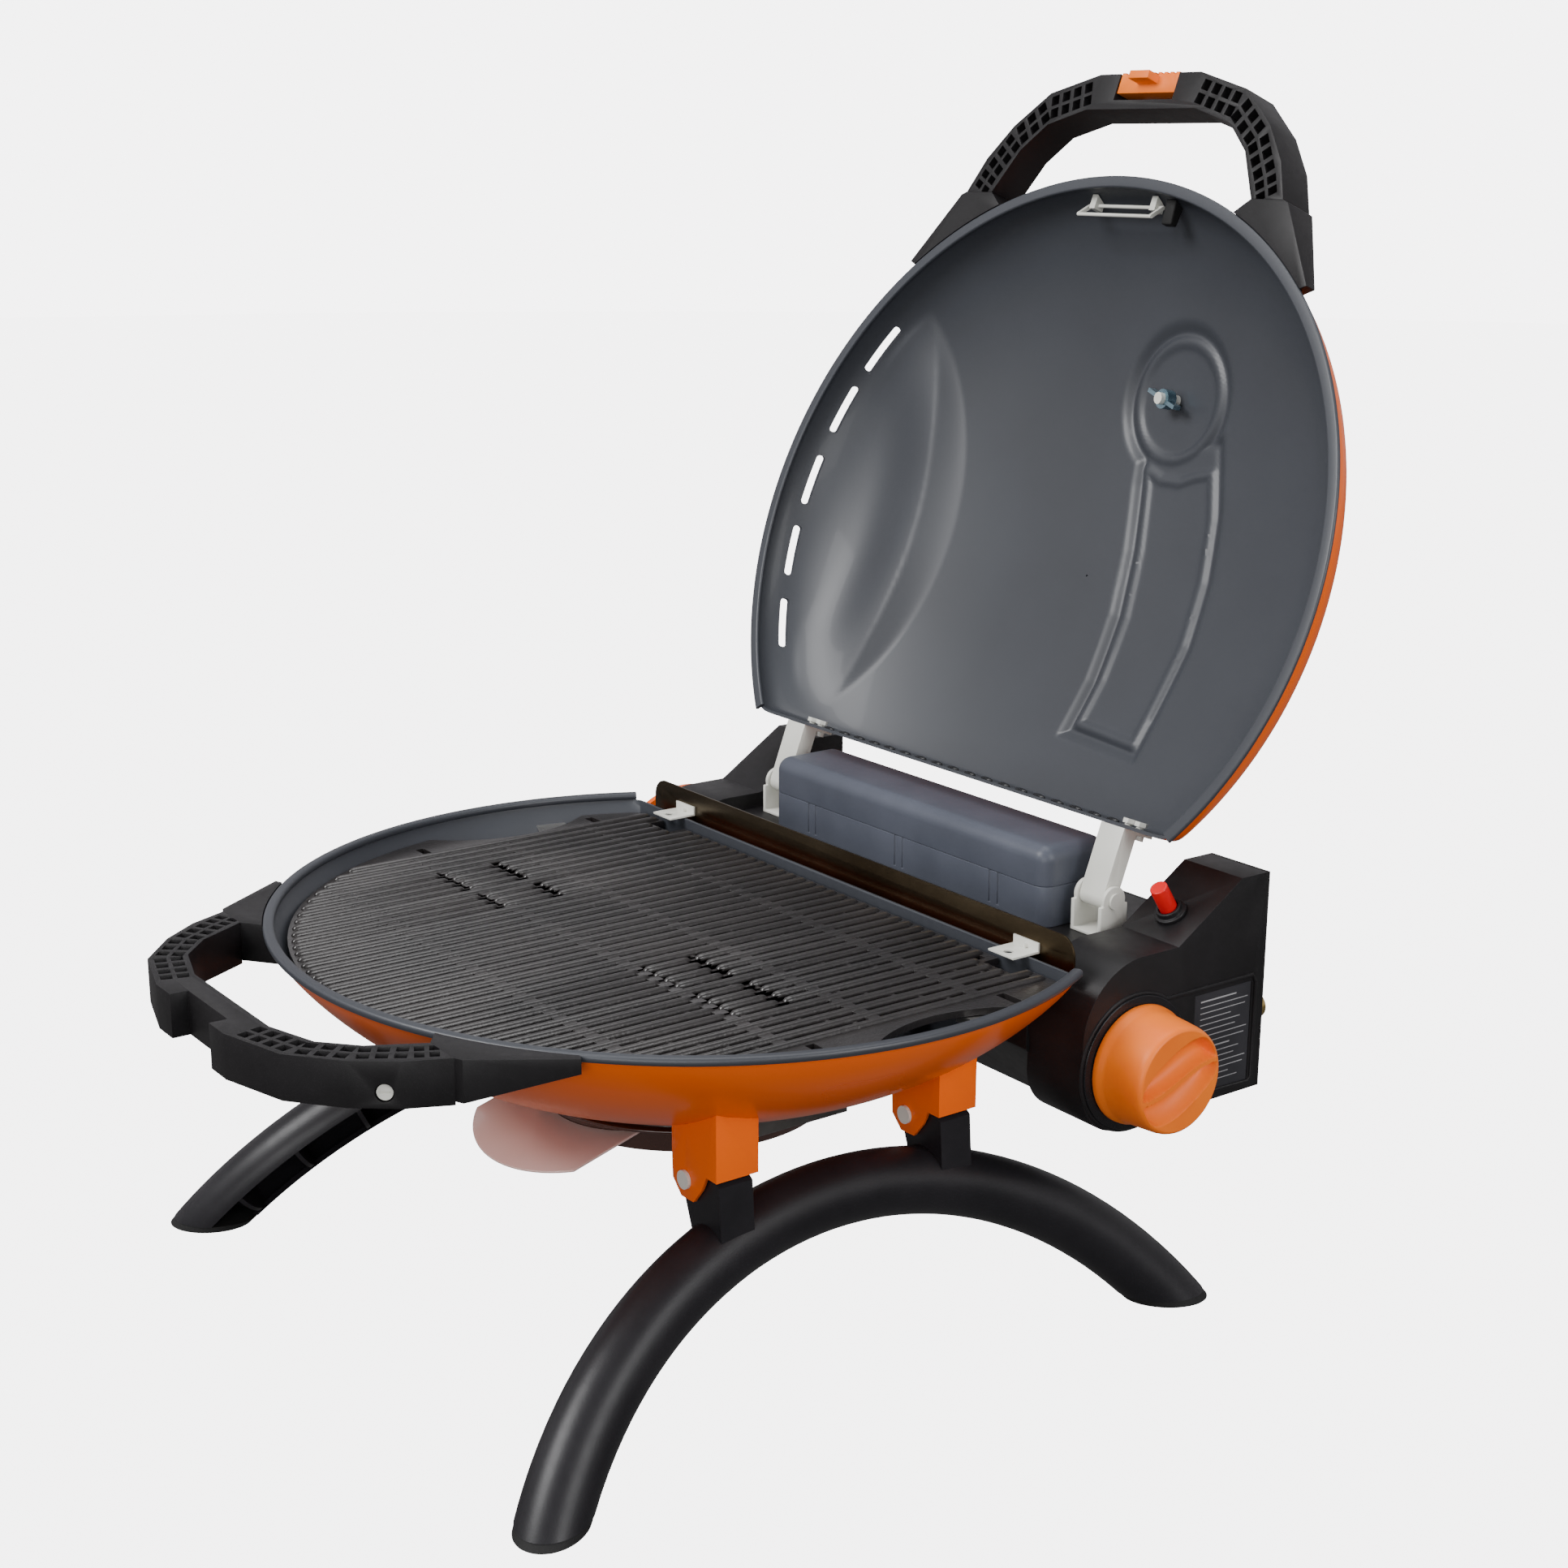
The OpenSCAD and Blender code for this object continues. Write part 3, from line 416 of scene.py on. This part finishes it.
def polygon_distance(x, y, points):
    """Distance to a closed outline, negative inside it."""
    best, inside = 1e9, False
    for (x0, y0), (x1, y1) in zip(points, points[1:] + points[:1]):
        dx, dy = x1 - x0, y1 - y0
        t = max(0.0, min(1.0, ((x - x0) * dx + (y - y0) * dy) / (dx * dx + dy * dy)))
        best = min(best, math.hypot(x - x0 - t * dx, y - y0 - t * dy))
        if (y0 > y) != (y1 > y) and x < x0 + dx * (y - y0) / dy:
            inside = not inside
    return -best if inside else best


def groove(d, width):
    """Share of a groove's depth at a distance d from its middle."""
    return math.exp(-(d / width) ** 2)


def crescent(x, y):
    """A dent with a crisp crest on its outer side and a fine step on its inner one."""
    crest = CREST_X - 0.001 * (y + 10) ** 2
    foot = FOOT_X - 0.0021 * (y + 12) ** 2
    width = foot - crest
    if width <= 0 or not crest - OUTER_SLOPE < x < foot:
        return 0.0
    if x < crest:
        shape = smooth((x - crest + OUTER_SLOPE) / OUTER_SLOPE) ** 1.2
    else:
        shape = (1 - (x - crest) / width) ** 1.35
    return -CRESCENT_DEPTH * shape * smooth(width / CRESCENT_FADE)


def lid_relief(x, y):
    """Height of the relief above the plain dome."""
    out = crescent(x, y)
    if -20 < x < 135 and -185 < y < 130:
        ring = math.hypot(x - BADGE[0], y - BADGE[1])
        d = min(polygon_distance(x, y, PANEL), ring - PANEL_END_R)
        out += PANEL_RISE * smooth(0.5 - d / PANEL_SLOPE) + BEAD_RISE * groove(d + BEAD_IN, 2.8)
        out -= 1.7 * groove(ring - BADGE_R, 2.8)
        out -= 1.5 * groove(polygon_distance(x, y, PLAQUE), 2.6)
    return out


# ---------- lid, bowl and their rims ----------
LID_SLOTS = ((-219, -131, -33), (-244, -80, -64), (-257, -23, -81), (-256, 33, 83), (-241, 88, 70))
SLOT_Z, SLOT_REACH = 22, 22


def slot_cutters():
    """Round-ended slots through the lid's left wall: middle x, y and turn in degrees."""
    bm = bmesh.new()
    for x, y, turn in LID_SLOTS:
        place = Matrix.Translation((x, y, SLOT_Z)) @ Matrix.Rotation(math.radians(turn), 4, "Z")
        path = [lambda u, v, place=place, side=side: place @ Vector((u, side * SLOT_REACH, v))
                for side in (-1, 1)]
        sweep(bm, path, rounded_box(38, 5, 2.4))
    return bm


def make_lid():
    bm = sheet_grid(dome_z, LID_BACK, lid_relief, 0.004, 480, 150)
    lid = piece("lid_skin", bm, lid_frame(), "lid", [ORANGE, SLATE], ["lid_shell"],
                closed=False)
    thicken(lid)
    cutter = piece("slot_cutter", slot_cutters(), lid_frame(), "lid", [SLATE])
    apply(lid, "BOOLEAN", object=cutter, operation="DIFFERENCE", solver="EXACT")
    bpy.data.objects.remove(cutter)
    lid.data.set_sharp_from_angle(angle=math.radians(40))


def make_bowl():
    """The bowl's sheet, open in its middle for the grease drain."""
    bm = sheet_grid(bowl_z, BOWL_BACK, lambda x, y: 0.0, 0.153, 256, 60)
    bmesh.ops.reverse_faces(bm, faces=bm.faces)
    bowl = piece("bowl_skin", bm, base_frame(), "base", [ORANGE, SLATE], ["bowl_shell"],
                 closed=False)
    thicken(bowl)


def rim_bead(name, place, body, back, section, replaces=()):
    """A rounded lip that follows the rim from one end of the rear wall to the other."""
    start = math.asin(back / RIM_B)
    steps = 180
    path = []
    for i in range(steps + 1):
        a = math.pi - start + (math.pi + 2 * start) * i / steps
        path.append(lambda u, v, a=a: ((RIM_A + u) * math.cos(a), (RIM_B + u) * math.sin(a), v))
    bm = bmesh.new()
    sweep(bm, path, section)
    piece(name, bm, place, body, [SLATE], replaces)


def make_vents():
    """Two rows of small louvres on the lid's rear wall, the second half a step along; each is a solid
    black bump, painted shade standing in for the dark opening of a louvre.
    """
    count, step = 17, 17.0
    y = LID_BACK - SHEET - 0.3
    bm = bmesh.new()
    for row, z in enumerate((12, 20)):
        for i in range(count):
            x = (i - (count - 1) / 2 + row / 2) * step
            place = Matrix.Translation((x, y, z)) @ Matrix.Diagonal((5.5, 1.5, 2.0, 1))
            bmesh.ops.create_uvsphere(bm, u_segments=12, v_segments=8, radius=1, matrix=place)
    # the black bezel plastic on these bumps is painted shade for the louvres' openings
    piece("lid_vents", bm, lid_frame(), "lid", [BEZEL])


# ---------- softened copies of CAD shapes ----------
SOFTENED = {             # node: radius of its edges
    "front_handle": 1.1, "lid_handle": 1.1, "front_handle_ends": 1.6, "lid_handle_ends": 1.6,
    "latch_button": 0.8, "rear_housing": 2.2, "rear_cover": 0.8, "leg_brackets": 1.2,
    "hinge_arms": 0.6, "hinge_brackets": 0.6, "igniter_button": 2.6, "igniter_collar": 0.6,
    "wind_guard": 0.3, "guard_clips": 0.3, "knob_bezel": 0.6, "pan_tab": 0.5, "grease_pan": 0.6,
    "lid_bumper": 1.2, "case_box": 0.8,
}


def clean_copy(node):
    """A CAD node's mesh, in metres, with its flat facets merged."""
    bm = bmesh.new()
    bm.from_mesh(frame["nodes"][node].data)
    bmesh.ops.remove_doubles(bm, verts=bm.verts, dist=2e-6)
    bmesh.ops.dissolve_limit(bm, angle_limit=math.radians(0.6), verts=bm.verts, edges=bm.edges)
    return bm


def soften(node, radius):
    """Stands a copy with rounded edges in for a CAD node."""
    body = frame["nodes"][node]["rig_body"]
    slot = NODE_SLOT[node]
    obj = piece(node + "_soft", clean_copy(node), Matrix.Identity(4), body,
                [SLOT_MATERIAL[slot]], [node])
    round_edges(obj, radius, 3, 28)
    obj.data.set_sharp_from_angle(angle=math.radians(45))


# ---------- grate ----------
PITCH, BAR = 11.0, 5.0           # bar spacing and width
BARS_A_SIDE = 19                 # either side of the middle bar
BAR_INSET = 1.5                  # how far a ridge ends inside the casting's edge
GRATE_A, GRATE_B, GRATE_BACK = 250.0, 237.5, 112.0
GRATE_TOP, RIDGE = -9.0, 2.8
RIDGE_FOOT = GRATE_TOP - RIDGE - 0.6
RIDGE_TIP = ((0, 0.05), (0.7, 0.55), (2.4, 0.9), (5, 1))     # distance from the end, share of full size
CLIP_X, NOTCH_HALF, NOTCH_BACK = 180.0, 17.0, 100.0          # notches under the guard's clips
BRIDGE_STEP, BRIDGE_SHIFT = 66, 11


def ridge_breaks(i):
    """Where a bar's ridge is cut by the two pairs of cross grooves."""
    if -15 <= i <= -8 and i != -11:
        return [-79, -39]
    if 6 <= i <= 14 and i != 10:
        return [-73, -37]
    return []


def bar_reach(x):
    """How far a bar runs to the front and to the back."""
    front = GRATE_B * math.sqrt(1 - ((abs(x) + BAR / 2) / GRATE_A) ** 2) - BAR_INSET
    back = NOTCH_BACK if abs(abs(x) - CLIP_X) < NOTCH_HALF else GRATE_BACK
    return front, min(front, back - BAR_INSET)


def ridge(bm, x, y0, y1):
    """A long rounded ridge with round ends."""
    r = BAR / 2 + 0.3
    tips = [(y0 + d, g) for d, g in RIDGE_TIP] + [(y1 - d, g) for d, g in RIDGE_TIP[::-1]]
    section = [(r * math.cos(math.radians(t)), math.sin(math.radians(t))) for t in range(0, 181, 20)]
    path = [lambda u, v, y=y, g=g: (x + u * (0.35 + 0.65 * g), y, RIDGE_FOOT + v * (RIDGE + 0.6) * g)
            for y, g in tips]
    sweep(bm, path, section)


def bridge(bm, x, y):
    """A small web across the gap between two bars."""
    half = (PITCH - BAR) / 2 + 0.6
    z = GRATE_TOP - RIDGE - 1.6
    path = [lambda u, v, dx=dx: (x + dx, y + u, z + v) for dx in (-half, half)]
    sweep(bm, path, rounded_box(3.4, 3.2, 1.2, 3))


def make_plate():
    """The CAD's grate with its top lowered, to carry the ridges."""
    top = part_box("cooking_grate")[1].z
    bm = clean_copy("cooking_grate")
    for v in bm.verts:
        if v.co.z > top - 0.1 * MM:
            v.co.z -= RIDGE * MM
    plate = piece("grate_plate", bm, Matrix.Identity(4), "grate", [IRON], ["cooking_grate"])
    round_edges(plate, 0.9, 2, 40)


def make_ridges():
    """A ridge on every bar, and bridges in stepped rows between the bars."""
    bm = bmesh.new()
    for i in range(-BARS_A_SIDE, BARS_A_SIDE + 1):
        front, back = bar_reach(i * PITCH)
        stops = [-front] + ridge_breaks(i) + [back]
        for a, b in zip(stops, stops[1:]):
            y0 = a if a == -front else a + 1.5
            y1 = b if b == back else b - 1.5
            ridge(bm, i * PITCH, y0, y1)
    for i in range(-BARS_A_SIDE, BARS_A_SIDE):
        x = (i + 0.5) * PITCH
        front, back = bar_reach(x)
        first = -230 + BRIDGE_SHIFT * ((i + BARS_A_SIDE) % 6)
        for k in range(5):
            y = first + k * BRIDGE_STEP
            if -front + 8 < y < back - 8:
                bridge(bm, x, y)
    piece("grate_ridges", bm, base_frame(), "grate", [IRON])


# ---------- control knob ----------
KNOB_PROFILE = [(31.5, 1.5), (33, 0.4), (36, 0.4), (36.3, 1.2), (36, 4.4), (34.8, 6.2), (34.3, 9),
                (33.6, 20), (32.8, 30), (32.3, 32.6), (31.6, 34.3), (30.5, 35.2)]    # radius, height
KNOB_FACE_R, KNOB_FACE_H, KNOB_CUT = 30.5, 35.4, 8.5


def knob_depth(u, v):
    """How deep the face is cut at a share (u, v) of its radius: two scoops about an S ridge."""
    out = 0.0
    for turn in (1, -1):
        a, b = u * turn, v * turn
        width = 0.62 * max(0.0, 1 - (a / 0.98) ** 2) ** 0.5
        s = (b - 0.055 - 0.25 * math.sin(1.7 * a)) / max(width, 0.01)
        if 0 < s < 1:
            out = max(out, math.sin(math.pi * s ** 0.8) ** 0.7 * smooth(width / 0.4))
    return out


def make_knob():
    lo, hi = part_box("control_knob")
    centre = Vector((lo.x, (lo.y + hi.y) / 2, (lo.z + hi.z) / 2))
    spokes, rings = 200, 70
    bm = bmesh.new()
    loops = [[bm.verts.new((h, y, z)) for y, z in circle(r, spokes)] for r, h in KNOB_PROFILE]
    for i in range(1, rings + 1):
        share = 1 - i / rings
        fade = smooth((1 - share) / 0.08)
        ring = []
        for u, v in circle(share, spokes):
            h = KNOB_FACE_H - KNOB_CUT * knob_depth(u, v) * fade
            ring.append(bm.verts.new((h, KNOB_FACE_R * u, KNOB_FACE_R * v)))
        loops.append(ring)
    skin(bm, loops)
    bmesh.ops.remove_doubles(bm, verts=loops[-1], dist=0.3)
    bm.faces.new(loops[0][::-1])
    place = Matrix.Translation(centre) @ Matrix.Scale(MM, 4)
    piece("knob_skin", bm, place, "knob", [KNOB_ORANGE], ["control_knob"])


# ---------- accessory case ----------
def moulded_box(lo, hi, corner, top, bottom):
    """A box with rounded upright corners and rounded top and bottom edges, in millimetres."""
    bm = bmesh.new()
    bmesh.ops.create_cube(bm, size=1)
    for v in bm.verts:
        v.co = Vector([(a + b) / 2 + c * (b - a) for a, b, c in zip(lo, hi, v.co)])
    upright = [e for e in bm.edges if abs(e.verts[0].co.z - e.verts[1].co.z) > 1]
    bmesh.ops.bevel(bm, geom=upright, offset=corner, segments=8, affect="EDGES", profile=0.5)
    for z, radius in ((hi[2], top), (lo[2], bottom)):
        flat = [e for e in bm.edges if all(abs(v.co.z - z) < 0.01 for v in e.verts)]
        bmesh.ops.bevel(bm, geom=flat, offset=radius, segments=8, affect="EDGES", profile=0.5)
    return bm


def make_case_lid():
    inverse = base_frame().inverted()
    lo, hi = (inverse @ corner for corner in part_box("case_lid"))
    bm = moulded_box(lo, hi, 9.8, 9.6, 0.8)
    piece("case_lid_skin", bm, base_frame(), "case_top", [CASE_GREY], ["case_lid"])


# ---------- housing details ----------
def make_label_print():
    """Plain printed lines on the label, standing for instructions."""
    lo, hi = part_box("label_plate")
    rows, thickness = 15, 0.2
    lengths = (30, 38, 34, 40, 26)
    headings = (0, 8)
    bm = bmesh.new()
    for row in range(rows):
        length = lengths[row * 3 % len(lengths)]
        height = 0.9 if row in headings else 0.5
        place = Matrix.Translation((hi.x, lo.y + (5 + length / 2) * MM, hi.z - (5 + 56 * row / rows) * MM))
        size = Matrix.Diagonal((thickness * MM, length * MM, height * MM, 1))
        bmesh.ops.create_cube(bm, size=1, matrix=place @ size)
    piece("label_lines", bm, Matrix.Identity(4), "base", [PRINT])


def make_panel_bead():
    """The raised keyhole edge round the knob and the label, drawn in metres."""
    knob_lo, knob_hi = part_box("knob_bezel")
    label_lo, label_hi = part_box("label_plate")
    cy, cz = (knob_lo.y + knob_hi.y) / 2, (knob_lo.z + knob_hi.z) / 2
    radius = 41.5 * MM
    top, low, back = label_hi.z + 4 * MM, label_lo.z - 2.6 * MM, label_hi.y + 3.5 * MM
    first = math.asin((top - cz) / radius)
    last = -math.asin((cz - max(low, cz - radius * 0.8)) / radius)
    steps = 40
    points = []
    for i in range(steps + 1):
        a = first + (2 * math.pi - first + last) * i / steps
        points.append((cy + radius * math.cos(a), cz + radius * math.sin(a)))
    points += [(back - 3 * MM, low + 2 * MM), (back, low + 5 * MM)]
    points += [(back, top - 5 * MM), (back - 3 * MM, top)]
    path = []
    for i, (y, z) in enumerate(points):
        before, after = Vector(points[i - 1]), Vector(points[(i + 1) % len(points)])
        d = (after - before).normalized()
        path.append(lambda u, v, y=y, z=z, d=d: (knob_lo.x + v, y - d.y * u, z + d.x * u))
    section = [(1.5 * MM * c, 1.1 * MM * s) for c, s in circle(1, 10)]
    bm = bmesh.new()
    sweep(bm, path, section, closed=True)
    piece("panel_bead", bm, Matrix.Identity(4), "base", [BLACK])


# ---------- floor, light and camera ----------
FLOOR_R, BEND_R, WALL_TOP = 9, 3, 12         # metres
FLOOR_DROP = 0.0005                          # so that the feet stand clear of it
SOFTBOXES = (                                # name, place, aim, size in metres, watts
    ("key", (-0.5, -2.0, 2.2), (0, 0.1, 0.4), (1.5, 1.1), 84),
    ("side", (2.3, 0.3, 1.3), (0, 0, 0.2), (1.2, 1.2), 28),
    ("fill", (1.7, -2.0, 0.7), (0, 0, 0.18), (1.6, 0.8), 22),
    ("top", (-0.2, 0.3, 2.6), (0, 0, 0.2), (2.0, 1.6), 30),
)
CAMERA_AT, CAMERA_AIM = (1.1525, -0.8024, 0.6850), (-0.0018, 0.0381, 0.2999)
CAMERA_ROLL = 0.21                           # degrees
CAMERA_LENS, CAMERA_SENSOR = 54.18, 36


def backdrop_paint():
    """Pale paper, brighter to the camera than to what it lights."""
    m = Mat("backdrop", Specular_IOR_Level=0.1, Emission_Color=(1, 0.985, 0.99, 1))
    seen = m.between(m.node("LightPath").outputs["Is Camera Ray"], 0.16, 5.5)
    m.link(seen, m.bsdf.inputs["Emission Strength"])
    m.colour(m.noise(2, 2), (0.9, 0.885, 0.89), (0.94, 0.93, 0.935))
    m.rough(m.noise(20, 2), 0.75, 0.85)
    return m.mat


def make_stage():
    """A wide dish, so that no edge of it shows from any side."""
    profile = []
    for t in range(0, 91, 6):
        a = math.radians(t)
        profile.append((FLOOR_R + BEND_R * math.sin(a), BEND_R - BEND_R * math.cos(a)))
    profile.append((FLOOR_R + BEND_R, WALL_TOP))
    bm = bmesh.new()
    rings = [[bm.verts.new((x, y, z - FLOOR_DROP)) for x, y in circle(r, 96)] for r, z in profile]
    bm.faces.new(rings[0])
    skin(bm, rings)
    mesh_object("backdrop", bm, [backdrop_paint()])


def make_world():
    world = bpy.data.worlds.new("studio")
    bpy.context.scene.world = world
    world.use_nodes = True
    background = world.node_tree.nodes["Background"]
    background.inputs["Color"].default_value = (0.9, 0.92, 1.0, 1)
    background.inputs["Strength"].default_value = 0.22


def softbox(name, at, aim, size, watts):
    light = bpy.data.lights.new(name, "AREA")
    light.shape = "RECTANGLE"
    light.size, light.size_y = size
    light.energy = watts
    obj = add_object(name, light)
    obj.location = at
    obj.rotation_euler = (Vector(aim) - Vector(at)).to_track_quat("-Z", "Y").to_euler()


def make_camera():
    data = bpy.data.cameras.new("camera")
    data.lens = CAMERA_LENS
    data.sensor_width = CAMERA_SENSOR
    obj = add_object("camera", data)
    obj.location = CAMERA_AT
    aim = (Vector(CAMERA_AIM) - obj.location).to_track_quat("-Z", "Y").to_matrix()
    roll = Matrix.Rotation(math.radians(CAMERA_ROLL), 3, "Z")
    obj.rotation_euler = (aim @ roll).to_euler()
    bpy.context.scene.camera = obj


# ---------- build ----------
dress_cad()
make_lid()
make_bowl()
make_plate()
make_ridges()
make_knob()
make_case_lid()
make_label_print()
make_panel_bead()
make_vents()
rim_bead("bowl_lip", base_frame(), "base", BOWL_BACK,
         shifted(rounded_box(7, 5, 2.2), -3.5, -2.5), ["bowl_rim"])
rim_bead("lid_lip", lid_frame(), "lid", LID_BACK,
         shifted(rounded_box(8, 2.8, 1.3), -4, 1.9))
for soft_node, edge_radius in SOFTENED.items():
    soften(soft_node, edge_radius)

make_stage()
make_world()
for lamp in SOFTBOXES:
    softbox(*lamp)
make_camera()
